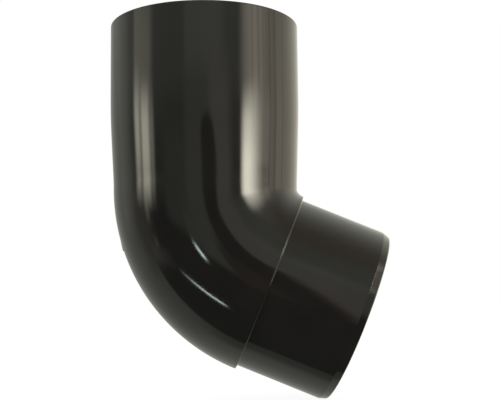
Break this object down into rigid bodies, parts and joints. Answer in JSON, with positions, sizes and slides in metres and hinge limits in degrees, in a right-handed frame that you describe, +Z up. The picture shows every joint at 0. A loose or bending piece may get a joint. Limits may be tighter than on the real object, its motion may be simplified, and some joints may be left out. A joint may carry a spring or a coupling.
{
  "type": "downspout elbow",
  "caption": "Moulded rainwater elbow: round push-fit socket, gently narrowing neck, 67.5 degree bend with a tight throat, shoulder and stepped-down spigot with a rounded mouth.",
  "frame": {"origin": "centre of the pipe stop at the foot of the socket, on the socket's axis", "axes": "+Z up along the socket's axis, out of its mouth; +X towards the side that the spigot points to; the XZ plane is the plane of symmetry"},
  "size_m": [0.1183, 0.0814, 0.1598],
  "materials": {
    "brown_pvc": "glossy as moulded"
  },
  "bodies": {
    "root": {"downspout_elbow": "brown_pvc"}
  },
  "joints": []
}
